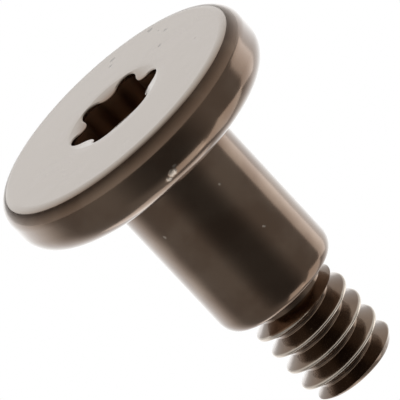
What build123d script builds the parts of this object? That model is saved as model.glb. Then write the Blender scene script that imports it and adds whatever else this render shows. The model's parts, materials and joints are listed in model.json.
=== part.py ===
"""Shoulder bolt: a low flat head with a hexalobular drive recess, a plain bearing shoulder,
a short neck relief and a coarse right-hand thread, all in one piece of steel.

The bolt stands on its head. The drive face lies on the plane Z = 0, the origin is its centre
and +Z runs along the axis to the thread's tip. One lobe of the recess points near +X.
All sizes are in millimetres and all angles in degrees.
"""

import math
import os

from build123d import *

# Head: a low disc with a small rounding round the drive face and a larger one on the seat side
HEAD_DIAMETER = 13.9
HEAD_HEIGHT = 2.75
FACE_EDGE_RADIUS = 0.78
SEAT_EDGE_RADIUS = 1.23

# Shoulder: the bearing surface, a quarter of an inch across
SHOULDER_DIAMETER = 6.35
SHOULDER_LENGTH = 8.8
SHOULDER_ROOT_RADIUS = 0.2
SHOULDER_END_RADIUS = 0.35

# Neck relief between the shoulder and the thread
NECK_DIAMETER = 3.6
NECK_LENGTH = 0.62

# Thread: No. 10, 24 turns to the inch, 60 degree form, right hand
THREAD_DIAMETER = 4.76
THREAD_PITCH = 25.4 / 24
THREAD_ANGLE = 60.0
CREST_WIDTH = 0.11
ROOT_WIDTH = 0.13
THREAD_LENGTH = 4.68
RUN_IN_LENGTH = 0.4
TIP_CHAMFER_LENGTH = 0.42
TIP_CHAMFER_DEPTH = 0.22

# Where the thread starts: the first crest on the +X side, measured from the shoulder's end,
# and the part of a turn in which the groove runs out into the neck
FIRST_CREST = 1.25
RUN_OUT_TURNS = 0.5
RUN_OUT_RISE = 0.45

# Hexalobular drive recess, size 27, its first lobe turned a little from +X, with a wide and
# very shallow countersink that leads the driver in
LOBES = 6
RECESS_TURN = 4.8
RECESS_TIP_DIAMETER = 5.07
RECESS_WAIST_DIAMETER = 3.7
RECESS_LOBE_RADIUS = 0.6
RECESS_DEPTH = 2.1
RECESS_POINT_ANGLE = 140.0
COUNTERSINK_DIAMETER = 5.2
COUNTERSINK_ANGLE = 157.0

# Places along the axis
SHOULDER_END = HEAD_HEIGHT + SHOULDER_LENGTH
NECK_END = SHOULDER_END + NECK_LENGTH
TIP = NECK_END + THREAD_LENGTH

# Thread form: the flanks slope at half the thread angle from crest to root
FLANK_SLOPE = math.tan(math.radians(THREAD_ANGLE / 2))
THREAD_DEPTH = (THREAD_PITCH - CREST_WIDTH - ROOT_WIDTH) / 2 / FLANK_SLOPE
CREST_RADIUS = THREAD_DIAMETER / 2
ROOT_RADIUS = CREST_RADIUS - THREAD_DEPTH


def corner(section, x, y):
    """The corner of a section nearest to a place."""
    return section.vertices().sort_by_distance((x, y))[0]


def head_and_shoulder():
    """The head and the shoulder: half their section, rounded and turned about the axis."""
    head = HEAD_DIAMETER / 2
    shoulder = SHOULDER_DIAMETER / 2
    section = make_face(
        Polyline(
            (0, 0),
            (head, 0),
            (head, HEAD_HEIGHT),
            (shoulder, HEAD_HEIGHT),
            (shoulder, SHOULDER_END),
            (0, SHOULDER_END),
            close=True,
        )
    )
    section = fillet(corner(section, head, 0), FACE_EDGE_RADIUS)
    section = fillet(corner(section, head, HEAD_HEIGHT), SEAT_EDGE_RADIUS)
    section = fillet(corner(section, shoulder, HEAD_HEIGHT), SHOULDER_ROOT_RADIUS)
    section = fillet(corner(section, shoulder, SHOULDER_END), SHOULDER_END_RADIUS)
    return revolve(Plane.XZ * section, Axis.Z)


def recess_outline():
    """The six-lobed outline: round lobes joined by round flutes that meet them smoothly."""
    tip = RECESS_TIP_DIAMETER / 2
    waist = RECESS_WAIST_DIAMETER / 2
    lobe = RECESS_LOBE_RADIUS
    reach = tip - lobe
    half_step = 180 / LOBES
    spread = 2 * reach * math.cos(math.radians(half_step))

    # The flute's radius for which the circle of the flute touches the circle of the lobe
    flute = (reach**2 + waist**2 - spread * waist - lobe**2) / (2 * lobe - 2 * waist + spread)

    lobe_centre = Vector(reach, 0)
    flute_centre = Vector(waist + flute, 0).rotate(Axis.Z, half_step)
    joint = lobe_centre + (flute_centre - lobe_centre).normalized() * lobe
    mirrored_joint = Vector(joint.X, -joint.Y)
    next_joint = mirrored_joint.rotate(Axis.Z, 2 * half_step)
    lobe_arc = ThreePointArc(mirrored_joint, (tip, 0), joint)
    flute_arc = ThreePointArc(joint, Vector(waist, 0).rotate(Axis.Z, half_step), next_joint)
    arcs = []
    for step in range(LOBES):
        turn = Rot(0, 0, 2 * half_step * step)
        arcs += [turn * lobe_arc, turn * flute_arc]
    return make_face(arcs)


def upright_cone(diameter, point_angle):
    """A pointed cone that stands on Z = 0."""
    radius = diameter / 2
    height = radius / math.tan(math.radians(point_angle / 2))
    return Cone(radius, 0, height, align=(Align.CENTER, Align.CENTER, Align.MIN))


def drive_recess():
    """The space for the driver: a lobed prism with a blunt conical floor and a wide lead-in."""
    prism = extrude(recess_outline(), RECESS_DEPTH)
    floor = Pos(0, 0, RECESS_DEPTH) * upright_cone(RECESS_WAIST_DIAMETER, RECESS_POINT_ANGLE)
    countersink = upright_cone(COUNTERSINK_DIAMETER, COUNTERSINK_ANGLE)
    return Rot(0, 0, RECESS_TURN) * (prism + floor + countersink)


def thread_blank():
    """The neck and the thread before its groove is cut, with its foot inside the shoulder."""
    neck = NECK_DIAMETER / 2
    foot = SHOULDER_END - SHOULDER_LENGTH / 4
    section = make_face(
        Polyline(
            (0, foot),
            (neck, foot),
            (neck, NECK_END),
            (CREST_RADIUS, NECK_END + RUN_IN_LENGTH),
            (CREST_RADIUS, TIP - TIP_CHAMFER_LENGTH),
            (CREST_RADIUS - TIP_CHAMFER_DEPTH, TIP),
            (0, TIP),
            close=True,
        )
    )
    return revolve(Plane.XZ * section, Axis.Z)


def groove_path(start, turns):
    """A helix along the groove's root, led in by a cone that brings it down from the neck."""
    lead_height = RUN_OUT_TURNS * THREAD_PITCH
    slope = -math.atan2(RUN_OUT_RISE, lead_height)
    lead = Edge.make_helix(
        THREAD_PITCH / math.cos(slope),
        lead_height,
        ROOT_RADIUS + RUN_OUT_RISE,
        center=(0, 0, start - lead_height),
        angle=math.degrees(slope),
    )
    path = [Rot(0, 0, -360 * RUN_OUT_TURNS) * lead]
    for turn in range(turns):
        centre = (0, 0, start + turn * THREAD_PITCH)
        path.append(Edge.make_helix(THREAD_PITCH, THREAD_PITCH, ROOT_RADIUS, center=centre))
    return Wire(path)


def thread_groove():
    """The groove between the thread's turns: its section swept along the helix, past the tip."""
    start = SHOULDER_END + FIRST_CREST - THREAD_PITCH / 2
    turns = math.ceil((TIP - start) / THREAD_PITCH) + 1
    path = groove_path(start, turns)
    depth = THREAD_DEPTH + THREAD_PITCH / 8
    rim_width = ROOT_WIDTH + 2 * depth * FLANK_SLOPE
    section = make_face(
        Polyline(
            (0, -ROOT_WIDTH / 2),
            (depth, -rim_width / 2),
            (depth, rim_width / 2),
            (0, ROOT_WIDTH / 2),
            close=True,
        )
    )
    outwards = Vector(path @ 0) - Vector(0, 0, (path @ 0).Z)
    plane = Plane(origin=path @ 0, x_dir=outwards, z_dir=outwards.cross(Vector(0, 0, 1)))
    return sweep(plane * section, path, is_frenet=True)


def shoulder_bolt():
    """The whole bolt as one solid."""
    return head_and_shoulder() - drive_recess() + (thread_blank() - thread_groove())


os.makedirs("parts", exist_ok=True)
bolt = shoulder_bolt()
bolt.label = "shoulder_bolt"
export_step(bolt, "parts/shoulder_bolt.step")
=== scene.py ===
"""A shoulder bolt in dark oxidised steel, standing on its head on a pale studio floor.

The bolt is turned, recessed and threaded as one closed piece, in metres, in the frame of the
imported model: the drive face lies on Z = 0 and +Z runs along the axis to the thread's tip.
Sizes in the classes below are in millimetres and angles in degrees, unless a name says otherwise.
"""

import json
import logging
import math
from dataclasses import dataclass
from enum import Enum
from typing import Callable, Iterable, Union

import bpy
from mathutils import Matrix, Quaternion, Vector

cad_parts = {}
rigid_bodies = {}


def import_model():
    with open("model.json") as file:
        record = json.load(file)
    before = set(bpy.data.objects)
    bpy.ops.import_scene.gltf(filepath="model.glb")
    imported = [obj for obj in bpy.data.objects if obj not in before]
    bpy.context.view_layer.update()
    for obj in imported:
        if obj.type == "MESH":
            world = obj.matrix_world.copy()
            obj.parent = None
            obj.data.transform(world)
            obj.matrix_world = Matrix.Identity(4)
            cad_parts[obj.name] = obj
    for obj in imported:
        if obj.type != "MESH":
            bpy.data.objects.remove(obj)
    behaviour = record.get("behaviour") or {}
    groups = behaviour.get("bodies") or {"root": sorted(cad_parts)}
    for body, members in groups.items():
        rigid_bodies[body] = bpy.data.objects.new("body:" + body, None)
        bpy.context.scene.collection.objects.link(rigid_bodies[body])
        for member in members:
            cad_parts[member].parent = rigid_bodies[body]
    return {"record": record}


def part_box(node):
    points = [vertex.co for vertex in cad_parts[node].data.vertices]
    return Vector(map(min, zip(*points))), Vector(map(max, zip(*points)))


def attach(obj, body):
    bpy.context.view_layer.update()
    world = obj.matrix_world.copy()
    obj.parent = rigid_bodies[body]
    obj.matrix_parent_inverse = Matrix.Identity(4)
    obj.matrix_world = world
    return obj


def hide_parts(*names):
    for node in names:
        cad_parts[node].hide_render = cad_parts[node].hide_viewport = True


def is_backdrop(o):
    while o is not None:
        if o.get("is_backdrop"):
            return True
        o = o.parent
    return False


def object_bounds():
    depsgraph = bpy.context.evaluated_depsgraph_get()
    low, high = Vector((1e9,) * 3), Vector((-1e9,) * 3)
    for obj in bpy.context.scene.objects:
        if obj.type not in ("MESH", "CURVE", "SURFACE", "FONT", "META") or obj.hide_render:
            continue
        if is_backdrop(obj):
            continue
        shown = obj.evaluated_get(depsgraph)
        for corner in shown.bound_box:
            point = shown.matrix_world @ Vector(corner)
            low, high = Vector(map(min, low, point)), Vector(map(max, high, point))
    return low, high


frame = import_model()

LOG = logging.getLogger("shoulder_bolt")
MM = 0.001
NODE = "shoulder_bolt"


# ---------------------------------------------------------------------------------------------
# Shader graphs
# ---------------------------------------------------------------------------------------------


class Value:
    """One number that varies over a surface: a node's output socket with Python's operators."""

    def __init__(self, graph: "Graph", socket: bpy.types.NodeSocket) -> None:
        """Wraps a socket of a graph."""
        self.graph = graph
        self.socket = socket

    def _math(self, operation: str, *terms: "Number") -> "Value":
        """Adds a Math node.

        Args:
            operation: the node's operation.
            terms: its one to three inputs.

        Returns:
            The node's result.
        """
        return self.graph.node("ShaderNodeMath", {"operation": operation}, dict(enumerate(terms)))

    def __add__(self, other: "Number") -> "Value":
        """Sum."""
        return self._math("ADD", self, other)

    def __radd__(self, other: "Number") -> "Value":
        """Sum, reflected."""
        return self._math("ADD", other, self)

    def __sub__(self, other: "Number") -> "Value":
        """Difference."""
        return self._math("SUBTRACT", self, other)

    def __rsub__(self, other: "Number") -> "Value":
        """Difference, reflected."""
        return self._math("SUBTRACT", other, self)

    def __mul__(self, other: "Number") -> "Value":
        """Product."""
        return self._math("MULTIPLY", self, other)

    def __rmul__(self, other: "Number") -> "Value":
        """Product, reflected."""
        return self._math("MULTIPLY", other, self)

    def __pow__(self, other: "Number") -> "Value":
        """Power."""
        return self._math("POWER", self, other)

    def greatest(self, other: "Number") -> "Value":
        """The larger of two values."""
        return self._math("MAXIMUM", self, other)

    def smooth(self, low: float, high: float, start: float = 0.0, end: float = 1.0) -> "Value":
        """A smooth step.

        Args:
            low: where the step starts.
            high: where it ends.
            start: the result up to low.
            end: the result from high on.

        Returns:
            The stepped value.
        """
        limits = {"Value": self, "From Min": low, "From Max": high, "To Min": start, "To Max": end}
        return self.graph.node("ShaderNodeMapRange", {"interpolation_type": "SMOOTHSTEP"}, limits)


Number = Union[Value, float]
Colour = tuple[float, float, float]


class Graph:
    """Builds one node tree by calls."""

    def __init__(self, tree: bpy.types.NodeTree) -> None:
        """Starts with an empty tree."""
        self.tree = tree
        tree.nodes.clear()

    def place(self, kind: str, settings: dict, sockets: dict) -> bpy.types.Node:
        """Adds a node.

        Args:
            kind: the node's type.
            settings: its properties, which are set first.
            sockets: what its inputs get, by name or number: a value, a link or a plain number.

        Returns:
            The node.
        """
        node = self.tree.nodes.new(kind)
        for name, setting in settings.items():
            setattr(node, name, setting)
        for name, given in sockets.items():
            target = node.inputs[name]
            if isinstance(given, Value):
                self.tree.links.new(given.socket, target)
            elif isinstance(given, tuple) and len(given) == 3 and target.type == "RGBA":
                target.default_value = (*given, 1.0)
            else:
                target.default_value = given
        return node

    def node(
        self, kind: str, settings: dict, sockets: dict, output: Union[int, str] = 0
    ) -> Value:
        """Adds a node and returns one of its outputs.

        Args:
            kind: the node's type.
            settings: its properties, which are set first.
            sockets: what its inputs get.
            output: which output is wanted.

        Returns:
            That output.
        """
        return Value(self, self.place(kind, settings, sockets).outputs[output])

    def noise(
        self, place: Value, size: float, detail: float = 3.0, stretch: Colour = (1, 1, 1)
    ) -> Value:
        """Smooth random mottling.

        Args:
            place: the object coordinates.
            size: the size of a blotch in millimetres.
            detail: how many finer layers are added.
            stretch: how much denser the pattern is along each axis.

        Returns:
            A value round one half.
        """
        sockets = {0: place, 1: stretch}
        scaled = self.node("ShaderNodeVectorMath", {"operation": "MULTIPLY"}, sockets)
        sockets = {"Vector": scaled, "Scale": 1 / (size * MM), "Detail": detail}
        return self.node("ShaderNodeTexNoise", {}, sockets)

    def mix(
        self, share: Number, first: Union[Value, Colour], second: Union[Value, Colour]
    ) -> Value:
        """Mixes two colours.

        Args:
            share: how much of the second shows.
            first: the colour at 0.
            second: the colour at 1.

        Returns:
            The mixed colour.
        """
        mixed = self.place("ShaderNodeMix", {"data_type": "RGBA"}, {0: share, 6: first, 7: second})
        return Value(self, mixed.outputs[2])


# ---------------------------------------------------------------------------------------------
# Finishes
# ---------------------------------------------------------------------------------------------


@dataclass(frozen=True)
class Mark:
    """A small spot of wear on the surface: its place and its width in millimetres."""

    x: float
    y: float
    z: float
    width: float


FACE_PITS = (
    Mark(-3.60, 4.61, 0.0, 0.30),
    Mark(-4.07, 3.06, 0.0, 0.26),
    Mark(-3.85, 3.70, 0.0, 0.18),
    Mark(-3.43, 1.93, 0.0, 0.24),
    Mark(-4.75, -0.84, 0.0, 0.16),
    Mark(-1.41, 5.22, 0.0, 0.34),
    Mark(-1.20, 4.70, 0.0, 0.22),
)
BRIGHT_NICKS = (
    Mark(0.07, -6.86, 1.85, 0.42),
    Mark(0.35, -6.80, 1.98, 0.30),
    Mark(-0.20, -6.90, 1.70, 0.22),
    Mark(-1.10, -2.98, 5.06, 0.16),
    Mark(-1.32, -2.87, 7.95, 0.13),
    Mark(2.27, -2.20, 5.41, 0.13),
    Mark(0.32, -2.06, 13.40, 0.14),
)


@dataclass(frozen=True)
class DarkOxide:
    """Steel with a slightly glossy brown-black oxide, rubbed lighter where it is handled. The
    drive face is also painted lighter as a painted reflection, the thread's crests are painted
    light as highlight lines, and the recess walls are painted lighter as painted light.

    Lengths are in millimetres, and so are the heights and depths of the relief.
    """

    body: Colour = (0.180, 0.118, 0.076)
    blotch: Colour = (0.140, 0.083, 0.048)
    # the drive face's tone: rubbed steel, made lighter still as a painted reflection of the bright
    # room
    rubbed_face_and_reflection: Colour = (0.250, 0.207, 0.167)
    # bare-metal tone: for nicks worn through the oxide, and as a painted highlight along the
    # thread's crests
    bare_metal_and_highlight: Colour = (0.62, 0.55, 0.47)
    pit: Colour = (0.15, 0.13, 0.11)
    # the recess walls' tone, lighter than the body as painted light reaching into the recess
    inside: Colour = (0.22, 0.125, 0.07)
    gloss: float = 0.16
    inside_gloss: float = 0.4
    blotch_size: float = 2.6
    wave_size: float = 1.5
    grain_size: float = 0.05
    ragged_size: float = 0.3
    wave_height: float = 0.011
    grain_height: float = 0.0005
    turning_height: float = 0.0003
    pit_depth: float = 0.006
    nick_depth: float = 0.004
    coat_weight: float = 0.8
    coat_roughness: float = 0.15
    face_depth: float = 0.16
    crest_radius: float = 2.38
    thread_foot: float = 11.9

    def marks(self, graph: Graph, place: Value, marks: Iterable[Mark]) -> Value:
        """Spots at given places.

        Args:
            graph: the material's graph.
            place: the object coordinates.
            marks: the spots.

        Returns:
            A mask, 1 in the middle of each spot.
        """
        mask: Number = 0.0
        for mark in marks:
            centre = (mark.x * MM, mark.y * MM, mark.z * MM)
            sockets = {0: place, 1: centre}
            apart = graph.node("ShaderNodeVectorMath", {"operation": "DISTANCE"}, sockets, "Value")
            spot = apart.smooth(mark.width * 0.25 * MM, mark.width * MM * 0.6, 1.0, 0.0)
            mask = spot.greatest(mask)
        return mask

    def ragged(self, graph: Graph, place: Value) -> Value:
        """The object coordinates, shaken a little so that a spot gets a ragged edge.

        Args:
            graph: the material's graph.
            place: the object coordinates.

        Returns:
            The shaken coordinates.
        """
        size = self.ragged_size * MM
        sockets = {"Vector": place, "Scale": 1 / size, "Detail": 1.0}
        shake = graph.node("ShaderNodeTexNoise", {}, sockets, "Color")
        sockets = {0: shake, 1: (size, size, size), 2: (-size / 2, -size / 2, -size / 2)}
        moved = graph.node("ShaderNodeVectorMath", {"operation": "MULTIPLY_ADD"}, sockets)
        return graph.node("ShaderNodeVectorMath", {"operation": "ADD"}, {0: place, 1: moved})

    def build(self) -> bpy.types.Material:
        """Makes the material.

        Returns:
            The material.
        """
        material = bpy.data.materials.new("dark_oxide_steel")
        material.use_nodes = True
        graph = Graph(material.node_tree)
        place = graph.node("ShaderNodeTexCoord", {}, {}, "Object")
        axes = graph.place("ShaderNodeSeparateXYZ", {}, {0: place})
        x, y, z = (Value(graph, axes.outputs[i]) for i in range(3))
        radius = (x * x + y * y) ** 0.5

        # Where the finish differs: the drive face, rubbed lighter and also painted lighter as a
        # painted reflection; the thread's crests, painted light as highlight lines; the recess
        # walls, painted lighter as painted light; and the blotches
        # the drive face, where the rubbed tone and the painted reflection go
        face = z.smooth(0.02 * MM, self.face_depth * MM, 1.0, 0.0)
        face = face * radius.smooth(1.6 * MM, 2.0 * MM)
        # the recess walls, where the painted light goes
        inside = radius.smooth(2.58 * MM, 2.53 * MM)
        inside = inside * z.smooth(0.1 * MM, 0.3 * MM) * z.smooth(3.2 * MM, 3.1 * MM)
        # the thread's crests, where a painted highlight line goes
        crest = radius.smooth((self.crest_radius - 0.09) * MM, (self.crest_radius - 0.03) * MM)
        crest = crest * z.smooth(self.thread_foot * MM, (self.thread_foot + 0.3) * MM)
        broad = graph.noise(place, self.blotch_size, 4.0)
        patch = broad.smooth(0.42, 0.62)
        speckle = graph.noise(place, 0.35, 2.0).smooth(0.66, 0.74)
        ragged = self.ragged(graph, place)
        pits = self.marks(graph, ragged, FACE_PITS)
        nicks = self.marks(graph, ragged, BRIGHT_NICKS)

        colour = graph.mix(patch, self.blotch, self.body)
        # rubbed wear and a painted reflection on the drive face
        colour = graph.mix(face * (0.86 + broad * 0.2), colour, self.rubbed_face_and_reflection)
        # painted highlight along the thread's crests
        colour = graph.mix(crest * 0.75, colour, self.bare_metal_and_highlight)
        colour = graph.mix(nicks * 0.6, colour, self.bare_metal_and_highlight)
        # painted light inside the recess
        colour = graph.mix(inside, colour, self.inside)
        colour = graph.mix((pits * 0.7).greatest(speckle * 0.12), colour, self.pit)

        grain = graph.noise(place, self.grain_size, 2.0)
        turning = graph.noise(place, 0.09, 2.0, (0.05, 0.05, 1.0))
        wave = graph.noise(place, self.wave_size, 1.0)
        roughness = self.gloss + (broad - 0.5) * 0.10 + (grain - 0.5) * 0.06
        roughness = roughness + pits * 0.2 + face * 0.10
        roughness = roughness + inside * (self.inside_gloss - self.gloss)

        # The relief, in millimetres
        skin = wave * self.wave_height + grain * self.grain_height + turning * self.turning_height
        height = skin - pits * self.pit_depth - nicks * self.nick_depth
        sockets = {"Height": height, "Strength": 1.0, "Distance": MM}
        bump = graph.node("ShaderNodeBump", {}, sockets)
        sockets = {
            "Base Color": colour,
            "Metallic": 1.0,
            "Roughness": roughness,
            "Coat Weight": self.coat_weight,
            "Coat Roughness": self.coat_roughness,
            "Normal": bump,
        }
        shader = graph.node("ShaderNodeBsdfPrincipled", {}, sockets)
        graph.place("ShaderNodeOutputMaterial", {}, {"Surface": shader})
        return material


@dataclass(frozen=True)
class FloorPaint:
    """Matt near-white paint, clear from underneath, far away and where the face mirrors it."""

    tone: Colour = (0.88, 0.875, 0.865)
    roughness: float = 0.7
    hole_radius: float = 6.6
    fade_start: float = 60.0
    fade_end: float = 230.0

    def build(self) -> bpy.types.Material:
        """Makes the material.

        Returns:
            The material.
        """
        material = bpy.data.materials.new("pale_floor")
        material.use_nodes = True
        graph = Graph(material.node_tree)
        place = graph.node("ShaderNodeTexCoord", {}, {}, "Object")
        mottle = graph.noise(place, 9.0, 3.0)
        tone = graph.mix(mottle * 0.3, self.tone, tuple(0.97 * part for part in self.tone))
        sockets = {"Base Color": tone, "Roughness": self.roughness}
        paint = graph.node("ShaderNodeBsdfPrincipled", {}, sockets)
        clear = graph.node("ShaderNodeBsdfTransparent", {}, {})
        underneath = graph.node("ShaderNodeNewGeometry", {}, {}, "Backfacing")
        sockets = {0: place, 1: (0.0, 0.0, 0.0)}
        apart = graph.node("ShaderNodeVectorMath", {"operation": "DISTANCE"}, sockets, "Value")
        far = apart.smooth(self.fade_start * MM, self.fade_end * MM)
        hole = apart.smooth((self.hole_radius - 0.05) * MM, self.hole_radius * MM, 1.0, 0.0)
        seen = graph.node("ShaderNodeLightPath", {}, {}, "Is Camera Ray")
        hole = hole * seen.smooth(0.0, 1.0, 1.0, 0.0)
        cleared = underneath.greatest(far).greatest(hole)
        shown = graph.node("ShaderNodeMixShader", {}, {0: cleared, 1: paint, 2: clear})
        graph.place("ShaderNodeOutputMaterial", {}, {"Surface": shown})
        return material


# ---------------------------------------------------------------------------------------------
# Modelling
# ---------------------------------------------------------------------------------------------


def near(first: float, second: float, slack: float = 0.002) -> bool:
    """Whether two lengths in millimetres are the same within a slack."""
    return abs(first - second) < slack


def clear_selection() -> None:
    """Leaves edit mode and deselects every object."""
    if bpy.context.object and bpy.context.object.mode != "OBJECT":
        bpy.ops.object.mode_set(mode="OBJECT")
    bpy.ops.object.select_all(action="DESELECT")


def pick(thing: bpy.types.Object) -> None:
    """Makes one object the only selected and active one."""
    clear_selection()
    thing.select_set(True)
    bpy.context.view_layer.objects.active = thing


class Part(Enum):
    """What a selection is made of."""

    EDGES = "EDGE"
    FACES = "FACE"


class Workpiece:
    """One mesh on the bench, shaped in edit mode; one unit of the bench is a millimetre."""

    def __init__(self, thing: bpy.types.Object, radius: float, height: float) -> None:
        """Opens a primitive that was just made, whose end has that radius and height."""
        self.thing = thing
        self.radius = radius
        self.height = height
        bpy.ops.object.mode_set(mode="EDIT")

    @classmethod
    def cylinder(cls, name: str, sides: int, radius: float, height: float) -> "Workpiece":
        """Starts from a cylinder that stands on Z = 0.

        Args:
            name: the object's name.
            sides: how many sides it has.
            radius: its radius.
            height: its height.

        Returns:
            The piece, in edit mode.
        """
        clear_selection()
        bpy.ops.mesh.primitive_cylinder_add(
            vertices=sides, radius=radius, depth=height, end_fill_type="NGON"
        )
        thing = bpy.context.object
        thing.name = name
        piece = cls(thing, radius, height)
        bpy.ops.mesh.select_all(action="SELECT")
        bpy.ops.transform.translate(value=(0, 0, height / 2))
        return piece

    def select(self, part: Part, wanted: Callable[[list[Vector]], bool]) -> int:
        """Selects the edges or faces that suit.

        Args:
            part: what is selected.
            wanted: says of an element's corners whether it is wanted.

        Returns:
            How many were selected.
        """
        bpy.ops.mesh.select_mode(type=part.value)
        bpy.ops.mesh.select_all(action="DESELECT")
        bpy.ops.object.mode_set(mode="OBJECT")
        mesh = self.thing.data
        corners = [vertex.co.copy() for vertex in mesh.vertices]
        count = 0
        for element in mesh.polygons if part is Part.FACES else mesh.edges:
            if wanted([corners[i] for i in element.vertices]):
                element.select = True
                count += 1
        bpy.ops.object.mode_set(mode="EDIT")
        return count

    def take_end(self, radius: float, height: float) -> None:
        """Selects the many-sided face that closes the piece at a height.

        Args:
            radius: the radius of that face.
            height: its height.
        """
        self.select(Part.FACES, lambda at: len(at) > 8 and all(near(p.z, height) for p in at))
        self.radius, self.height = radius, height

    def draw_to(self, radius: float, height: float) -> None:
        """Draws the end out to a new radius and height.

        Args:
            radius: the end's new radius.
            height: its new height.
        """
        rise = height - self.height
        bpy.ops.mesh.extrude_region_move(TRANSFORM_OT_translate={"value": (0, 0, rise)})
        share = radius / self.radius
        if not near(share, 1.0, 1e-6):
            bpy.ops.transform.resize(value=(share, share, 1), center_override=(0, 0, height))
        self.radius, self.height = radius, height

    def shape_end(self, outline: Callable[[float], tuple[float, float]]) -> None:
        """Draws the end to a new outline that isn't round.

        Args:
            outline: the radius and height at an angle in radians.
        """
        bpy.ops.mesh.extrude_region_move()
        bpy.ops.object.mode_set(mode="OBJECT")
        for vertex in self.thing.data.vertices:
            if vertex.select:
                angle = math.atan2(vertex.co.y, vertex.co.x)
                radius, height = outline(angle)
                vertex.co = (radius * math.cos(angle), radius * math.sin(angle), height)
        bpy.ops.object.mode_set(mode="EDIT")

    def round_ring(self, radius: float, height: float, width: float, segments: int) -> None:
        """Rounds the edge that runs round the axis.

        Args:
            radius: the edge's radius.
            height: its height.
            width: the radius of the rounding.
            segments: how many facets the rounding has.
        """
        self.select(
            Part.EDGES,
            lambda at: all(near(p.z, height) and near(p.xy.length, radius) for p in at),
        )
        bpy.ops.mesh.bevel(offset=width, segments=segments, profile=0.5, affect="EDGES")

    def ring_cut(self, height: float) -> None:
        """Adds an edge all round the piece at a height."""
        bpy.ops.mesh.select_all(action="SELECT")
        bpy.ops.mesh.bisect(plane_co=(0, 0, height), plane_no=(0, 0, 1), threshold=1e-5)

    def to_centre(self) -> None:
        """Closes the selected end to a point."""
        bpy.ops.mesh.extrude_region_move()
        bpy.ops.mesh.merge(type="CENTER")

    def clean(self) -> None:
        """Merges doubles and turns every face outwards."""
        bpy.ops.mesh.select_all(action="SELECT")
        bpy.ops.mesh.remove_doubles(threshold=2e-4)
        bpy.ops.mesh.normals_make_consistent(inside=False)

    def close(self) -> bpy.types.Object:
        """Leaves edit mode.

        Returns:
            The object.
        """
        bpy.ops.object.mode_set(mode="OBJECT")
        return self.thing


@dataclass
class TurnedBody:
    """What the lathe makes: the head, the shoulder, the neck and the rod for the thread."""

    head_radius: float
    seat_height: float
    shoulder_radius: float
    length: float
    sides: int = 288
    face_rounding: float = 0.78
    seat_rounding: float = 1.23
    root_rounding: float = 0.2
    shoulder_length: float = 8.8
    shoulder_rounding: float = 0.35
    shoulder_rounding_length: float = 0.7
    neck_radius: float = 1.8
    neck_length: float = 0.62
    neck_rounding: float = 0.1
    rod_radius: float = 2.38
    lead_in: float = 0.4
    tip_bevel: float = 0.42
    tip_radius: float = 2.16
    tip_rounding: float = 0.05
    margin: float = 0.05
    end_steps: int = 12

    @property
    def shoulder_end(self) -> float:
        """The height of the shoulder's end."""
        return self.seat_height + self.shoulder_length

    @property
    def face_radius(self) -> float:
        """The radius of the flat part of the drive face."""
        return self.head_radius - self.face_rounding

    def turn(self, name: str) -> Workpiece:
        """Turns the body from one bar.

        Args:
            name: the object's name.

        Returns:
            The piece, in edit mode.
        """
        margin, seat, end = self.margin, self.seat_height, self.shoulder_end
        neck_end = end + self.neck_length
        piece = Workpiece.cylinder(name, self.sides, self.head_radius, seat)
        piece.take_end(self.head_radius, seat)
        start = end - self.shoulder_rounding_length
        rounding = []
        for step in range(self.end_steps + 1):
            turn = math.radians(90 * step / self.end_steps)
            radius = self.shoulder_radius - self.shoulder_rounding * (1 - math.cos(turn))
            rounding.append((radius, start + self.shoulder_rounding_length * math.sin(turn)))
        profile = (
            (self.head_radius - self.seat_rounding - margin, seat),
            (self.shoulder_radius + self.root_rounding + margin, seat),
            (self.shoulder_radius, seat),
            (self.shoulder_radius, start - margin),
            *rounding,
            (self.shoulder_radius - self.shoulder_rounding - margin, end),
            (self.neck_radius + self.neck_rounding + margin, end),
            (self.neck_radius, end),
            (self.neck_radius, neck_end),
            (self.rod_radius, neck_end + self.lead_in),
            (self.rod_radius, self.length - self.tip_bevel),
            (self.tip_radius, self.length),
            (self.tip_radius - self.tip_rounding - margin, self.length),
        )
        for radius, height in profile:
            piece.draw_to(radius, height)
        piece.round_ring(self.head_radius, 0.0, self.face_rounding, 12)
        piece.round_ring(self.head_radius, seat, self.seat_rounding, 16)
        piece.round_ring(self.shoulder_radius, seat, self.root_rounding, 6)
        piece.round_ring(self.neck_radius, end, self.neck_rounding, 4)
        piece.round_ring(self.tip_radius, self.length, self.tip_rounding, 3)
        for height in (
            self.face_rounding + margin,
            seat - self.seat_rounding - margin,
            seat + self.root_rounding + margin,
        ):
            piece.ring_cut(height)
        LOG.info("turned body: %d faces", len(piece.thing.data.polygons))
        return piece


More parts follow.
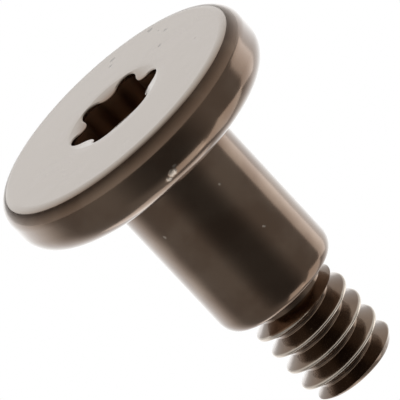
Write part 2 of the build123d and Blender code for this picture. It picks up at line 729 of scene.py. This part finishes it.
@dataclass
class DriveRecess:
    """The six-lobed recess for the driver, pressed into the middle of the drive face."""

    face_radius: float
    lobes: int = 6
    turned: float = 4.8
    tip_radius: float = 2.535
    waist_radius: float = 1.85
    lobe_radius: float = 0.6
    depth: float = 2.1
    lead_in_radius: float = 2.6
    lead_in_slope: float = 11.5
    mouth_rounding: float = 0.05
    floor_rounding: float = 0.14
    floor_slope: float = 20.0
    margin: float = 0.04
    rim_depth: float = 0.002
    turns: int = 4

    def outline(self, angle: float, offset: float = 0.0) -> float:
        """The outline of the recess, set out from the wall by an offset.

        Args:
            angle: the angle round the axis, in radians.
            offset: how far outside the wall.

        Returns:
            The radius at that angle.
        """
        reach = self.tip_radius - self.lobe_radius
        half_step = math.pi / self.lobes
        spread = 2 * reach * math.cos(half_step)
        waist, lobe = self.waist_radius, self.lobe_radius
        flute = (reach**2 + waist**2 - spread * waist - lobe**2) / (2 * lobe - 2 * waist + spread)
        far = waist + flute

        # Each sector is mirrored about its lobe; the arcs meet on the line between their centres
        angle -= math.radians(self.turned)
        turn = abs((angle + half_step) % (2 * half_step) - half_step)
        centre = (reach, 0.0)
        other = (far * math.cos(half_step), far * math.sin(half_step))
        apart = math.dist(centre, other)
        share = (lobe + offset) / apart
        joint = tuple(first + (second - first) * share for first, second in zip(centre, other))
        if turn <= math.atan2(joint[1], joint[0]):
            grown = lobe + offset
            return reach * math.cos(turn) + math.sqrt(grown**2 - (reach * math.sin(turn)) ** 2)
        grown = flute - offset
        rest = half_step - turn
        return far * math.cos(rest) - math.sqrt(grown**2 - (far * math.sin(rest)) ** 2)

    def press(self, piece: Workpiece) -> None:
        """Presses the recess into the drive face.

        Args:
            piece: the turned body, in edit mode.
        """
        piece.take_end(self.face_radius, 0.0)
        piece.draw_to(self.face_radius - self.margin, 0.0)
        piece.draw_to(self.lead_in_radius + 0.5, 0.0)
        piece.draw_to(self.lead_in_radius + 0.03, 0.0)
        piece.shape_end(lambda angle: (self.lead_in_radius, self.rim_depth))
        for share in (0.5, 0.75, 0.9):
            piece.shape_end(lambda angle, share=share: self.lead_in(angle, share))
        for step in range(self.turns + 1):
            turn = math.radians(90 * step / self.turns)
            piece.shape_end(lambda angle, turn=turn: self.mouth(angle, turn))
        for share in (0.3, 0.65):
            piece.shape_end(lambda angle, share=share: (self.outline(angle), self.depth * share))
        width = self.floor_rounding
        for step in range(self.turns + 1):
            turn = math.radians(90 * step / self.turns)
            offset = width * (math.cos(turn) - 1)
            height = self.depth - width * (1 - math.sin(turn))
            piece.shape_end(lambda angle, at=(offset, height): (self.outline(angle, at[0]), at[1]))
        slope = math.tan(math.radians(self.floor_slope))
        base = self.waist_radius - width
        for share in (0.92, 0.6, 0.3, 0.1):
            radius = base * share
            piece.shape_end(lambda angle, at=(radius, self.depth + (base - radius) * slope): at)
        piece.to_centre()
        LOG.info("drive recess: %d faces on the piece", len(piece.thing.data.polygons))

    def lead_in(self, angle: float, share: float) -> tuple[float, float]:
        """A place on the shallow countersink.

        Args:
            angle: the angle round the axis, in radians.
            share: how far it lies from the rim towards the recess's edge.

        Returns:
            The radius and height.
        """
        edge = self.outline(angle, self.mouth_rounding)
        radius = self.lead_in_radius + (edge - self.lead_in_radius) * share
        return radius, self.sink(radius)

    def sink(self, radius: float) -> float:
        """How deep the countersink lies at a radius."""
        slope = math.tan(math.radians(self.lead_in_slope))
        return max(0.0, self.lead_in_radius - radius) * slope + self.rim_depth

    def mouth(self, angle: float, turn: float) -> tuple[float, float]:
        """A place on the small rounding between the countersink and the wall.

        Args:
            angle: the angle round the axis, in radians.
            turn: how far the rounding has turned from the countersink to the wall, in radians.

        Returns:
            The radius and height.
        """
        width = self.mouth_rounding
        radius = self.outline(angle, width * (1 - math.sin(turn)))
        return radius, self.sink(self.outline(angle)) + width * (1 - math.cos(turn))


@dataclass
class Thread:
    """The coarse right-hand thread, cut by a tool that follows the helix."""

    start: float
    tip: float
    crest_radius: float = 2.38
    pitch: float = 25.4 / 24
    root_width: float = 0.13
    root_radius: float = 1.671
    crest_rounding: float = 0.05
    root_rounding: float = 0.05
    rim: float = 0.05
    flank_angle: float = 30.0
    flare_angle: float = 20.0
    flare: float = 0.004
    fade: float = 0.45
    fade_rate: float = 1.3
    steps: int = 96

    def tool_section(self) -> list[tuple[float, float]]:
        """The cutting tool's section.

        Returns:
            Its corners in order, as radius and height from the middle of the groove.
        """
        half_root = self.root_width / 2
        bite = math.tan(math.radians(self.flank_angle))
        half_crest = half_root + (self.crest_radius - self.root_radius) * bite
        side = []
        centre = (self.root_radius + self.root_rounding, half_root - self.root_rounding * bite)
        for angle in (175, 160, 140, 122):
            turn = math.radians(angle)
            across = centre[0] + self.root_rounding * math.cos(turn)
            side.append((across, centre[1] + self.root_rounding * math.sin(turn)))
        centre = (self.crest_radius - self.crest_rounding, half_crest + self.crest_rounding * bite)
        for angle in (-60, -46, -33, -20):
            turn = math.radians(angle)
            across = centre[0] + self.crest_rounding * math.cos(turn)
            side.append((across, centre[1] + self.crest_rounding * math.sin(turn)))
        last = side[-1]
        step = self.crest_radius + self.flare - last[0]
        flare_slope = math.tan(math.radians(self.flare_angle))
        side.append((last[0] + step, last[1] + step / flare_slope))
        side.append((self.crest_radius + self.rim, side[-1][1]))
        return [(across, -up) for across, up in reversed(side)] + side

    def tool(self) -> bpy.types.Object:
        """The space that the tool sweeps.

        Returns:
            A closed helical body, in millimetres.
        """
        section = self.tool_section()
        begin = self.start - self.fade * self.pitch
        turn = -2 * math.pi * self.fade
        clear_selection()
        bpy.ops.mesh.primitive_circle_add(vertices=len(section), radius=1.0, fill_type="NOTHING")
        thing = bpy.context.object
        thing.name = "thread_tool"
        for vertex, (radius, up) in zip(thing.data.vertices, section):
            vertex.co = (radius * math.cos(turn), radius * math.sin(turn), begin + up)
        screw = thing.modifiers.new("helix", "SCREW")
        screw.axis = "Z"
        screw.angle = 2 * math.pi
        screw.screw_offset = self.pitch
        screw.iterations = math.ceil((self.tip + self.pitch - begin) / self.pitch)
        screw.steps = screw.render_steps = self.steps
        screw.use_merge_vertices = False
        bpy.ops.object.modifier_apply(modifier=screw.name)
        for vertex in thing.data.vertices:
            place = vertex.co
            part = (math.atan2(place.y, place.x) - turn) / (2 * math.pi) % 1.0
            count = round((place.z - begin) / self.pitch - part)
            if count == 0 and part < self.fade:
                share = 1 - self.fade_rate * (self.fade - part)
                middle = begin + part * self.pitch
                radius = self.crest_radius + self.rim
                radius -= (radius - place.xy.length) * share
                direction = place.xy.normalized() * radius
                vertex.co = (direction.x, direction.y, middle + (place.z - middle) * share)
        bpy.ops.object.mode_set(mode="EDIT")
        bpy.ops.mesh.select_mode(type="EDGE")
        bpy.ops.mesh.select_all(action="DESELECT")
        bpy.ops.mesh.select_non_manifold()
        bpy.ops.mesh.fill_holes(sides=0)
        bpy.ops.mesh.select_all(action="SELECT")
        bpy.ops.mesh.normals_make_consistent(inside=False)
        bpy.ops.object.mode_set(mode="OBJECT")
        return thing

    def cut(self, bolt: bpy.types.Object) -> None:
        """Cuts the groove.

        Args:
            bolt: the turned body, in millimetres.
        """
        tool = self.tool()
        pick(bolt)
        cutting = bolt.modifiers.new("groove", "BOOLEAN")
        cutting.operation = "DIFFERENCE"
        cutting.solver = "EXACT"
        cutting.object = tool
        bpy.ops.object.modifier_apply(modifier=cutting.name)
        pick(tool)
        bpy.ops.object.delete()
        LOG.info("thread: %d faces on the bolt", len(bolt.data.polygons))


@dataclass
class ShoulderBolt:
    """The whole bolt, one piece of steel."""

    name: str = "bolt"
    first_crest: float = 1.25
    smooth_angle: float = 32.0
    side_slack: float = 0.001
    tip_slack: float = 0.0005

    def build(self) -> bpy.types.Object:
        """Makes the bolt and gives it its finish.

        Returns:
            The finished object, in metres.
        """
        low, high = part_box(NODE)
        mounts = {mount["name"]: mount for mount in frame["record"]["mounts"]}
        body = TurnedBody(
            head_radius=min(-low[0], -low[1], high[0], high[1]) / MM - self.side_slack,
            seat_height=mounts["head_seat"]["pos_m"][2] / MM,
            shoulder_radius=mounts["shoulder"]["dims"]["r_mm"],
            length=high[2] / MM - self.tip_slack,
        )
        piece = body.turn(self.name)
        DriveRecess(body.face_radius).press(piece)
        piece.clean()
        bolt = piece.close()
        thread = Thread(body.shoulder_end + self.first_crest - Thread.pitch / 2, body.length)
        thread.cut(bolt)
        self.finish_mesh(bolt)
        bolt.data.materials.clear()
        bolt.data.materials.append(DarkOxide().build())
        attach(bolt, "root")
        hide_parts(NODE)
        LOG.info("%s: %d faces", self.name, len(bolt.data.polygons))
        return bolt

    def finish_mesh(self, bolt: bpy.types.Object) -> None:
        """Merges doubles, turns the faces outwards, brings the bolt to metres and smooths it.

        Args:
            bolt: the bolt in millimetres.
        """
        pick(bolt)
        bpy.ops.object.mode_set(mode="EDIT")
        bpy.ops.mesh.select_all(action="SELECT")
        bpy.ops.mesh.remove_doubles(threshold=2e-4)
        bpy.ops.mesh.dissolve_degenerate(threshold=1e-4)
        bpy.ops.mesh.normals_make_consistent(inside=False)
        bpy.ops.object.mode_set(mode="OBJECT")
        bolt.scale = (MM, MM, MM)
        bpy.ops.object.transform_apply(location=True, rotation=True, scale=True)
        bpy.ops.object.shade_smooth_by_angle(angle=math.radians(self.smooth_angle))


# ---------------------------------------------------------------------------------------------
# Studio
# ---------------------------------------------------------------------------------------------


@dataclass(frozen=True)
class SoftBox:
    """A large square lamp behind a diffuser, aimed at the bolt's middle."""

    name: str
    azimuth: float
    elevation: float
    distance: float
    width: float
    brightness: float

    def hang(self, aim: Vector) -> bpy.types.Object:
        """Hangs the lamp.

        Args:
            aim: the point that it faces, in metres.

        Returns:
            The lamp.
        """
        lamp = bpy.data.lights.new(self.name, "AREA")
        lamp.shape = "SQUARE"
        lamp.size = self.width * MM
        lamp.energy = self.brightness * math.pi * (self.width * MM) ** 2
        thing = bpy.data.objects.new(self.name, lamp)
        bpy.context.scene.collection.objects.link(thing)
        azimuth, elevation = math.radians(self.azimuth), math.radians(self.elevation)
        flat = math.cos(elevation)
        way = Vector((flat * math.cos(azimuth), flat * math.sin(azimuth), math.sin(elevation)))
        thing.location = aim + way * self.distance * MM
        thing.rotation_mode = "QUATERNION"
        thing.rotation_quaternion = way.to_track_quat("Z", "Y")
        thing.visible_camera = False
        return thing


@dataclass(frozen=True)
class Camera:
    """The camera: where it looks and from where."""

    aim_height: float = 6.01
    distance: float = 267.8
    elevation: float = -18.845
    roll: float = 136.98
    lens: float = 536.5

    def place(self) -> None:
        """Places the camera and makes it the scene's."""
        data = bpy.data.cameras.new("camera")
        data.lens = self.lens
        data.sensor_width = 36.0
        data.clip_start = 0.01
        thing = bpy.data.objects.new("camera", data)
        bpy.context.scene.collection.objects.link(thing)
        elevation = math.radians(self.elevation)
        way = Vector((0, -math.cos(elevation), math.sin(elevation)))
        thing.location = Vector((0, 0, self.aim_height * MM)) + way * self.distance * MM
        thing.rotation_mode = "QUATERNION"
        roll = Quaternion((0, 0, 1), math.radians(self.roll))
        thing.rotation_quaternion = (-way).to_track_quat("-Z", "Y") @ roll
        bpy.context.scene.camera = thing


@dataclass(frozen=True)
class Studio:
    """A white room, brighter behind and below the bolt, with soft lamps and a pale floor."""

    floor_drop: float = 0.04
    floor_size: float = 900.0
    bright: float = 1.25
    middling: float = 0.37
    dim: float = 0.10
    bright_reach: tuple[float, float] = (0.02, 0.60)
    dim_reach: tuple[float, float] = (0.68, 1.0)
    bright_side: Colour = (0.0, 0.946, 0.0)
    dim_side: Colour = (0.0, -0.946, 0.323)
    lamps: tuple[SoftBox, ...] = (
        SoftBox("side lamp", 162.0, 20.0, 300.0, 160.0, 1.0),
        SoftBox("high lamp", -110.0, 58.0, 300.0, 140.0, 1.2),
        SoftBox("second high lamp", -165.0, 50.0, 300.0, 190.0, 1.2),
        SoftBox("floor lamp", 60.0, 75.0, 300.0, 200.0, 1.2),
    )

    def room(self) -> None:
        """Makes the world."""
        world = bpy.data.worlds.new("room")
        bpy.context.scene.world = world
        world.use_nodes = True
        graph = Graph(world.node_tree)
        way = graph.node("ShaderNodeTexCoord", {}, {}, "Generated")
        towards = {"operation": "DOT_PRODUCT"}
        back = graph.node("ShaderNodeVectorMath", towards, {0: way, 1: self.bright_side}, "Value")
        front = graph.node("ShaderNodeVectorMath", towards, {0: way, 1: self.dim_side}, "Value")
        light = front.smooth(*self.dim_reach, self.middling, self.dim)
        light = light + back.smooth(*self.bright_reach, 0.0, self.bright - self.middling)
        seen = graph.node("ShaderNodeLightPath", {}, {}, "Is Camera Ray")
        through = graph.node("ShaderNodeLightPath", {}, {}, "Is Transmission Ray")
        strength = light + seen.greatest(through) * (1 - light)
        sockets = {"Color": (1.0, 1.0, 1.0), "Strength": strength}
        shine = graph.node("ShaderNodeBackground", {}, sockets)
        graph.place("ShaderNodeOutputWorld", {}, {"Surface": shine})

    def floor(self) -> bpy.types.Object:
        """Lays the floor.

        Returns:
            The floor.
        """
        clear_selection()
        bpy.ops.mesh.primitive_plane_add(size=self.floor_size * MM)
        thing = bpy.context.object
        thing.name = "floor"
        bpy.ops.object.mode_set(mode="EDIT")
        bpy.ops.transform.translate(value=(0, 0, -self.floor_drop * MM))
        bpy.ops.mesh.subdivide(number_cuts=4)
        bpy.ops.object.mode_set(mode="OBJECT")
        thing.data.materials.append(FloorPaint().build())
        thing.visible_shadow = False
        thing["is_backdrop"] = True
        return thing

    def set_up(self, middle: Vector) -> None:
        """Sets up the room, the floor, the lamps and the camera.

        Args:
            middle: the bolt's middle, in metres.
        """
        self.room()
        self.floor()
        for lamp in self.lamps:
            lamp.hang(middle)
        Camera().place()
        bpy.context.scene.view_settings.view_transform = "Standard"
        LOG.info("studio: %d lamps", len(self.lamps))


def main() -> None:
    """Builds the bolt and its studio, set round the middle of the model's box."""
    logging.basicConfig(level=logging.INFO, format="%(name)s: %(message)s")
    cad_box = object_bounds()
    ShoulderBolt().build()
    middle = Vector(cad_box[0]).lerp(Vector(cad_box[1]), 0.5)
    Studio().set_up(middle)


if __name__ == "__main__":
    main()
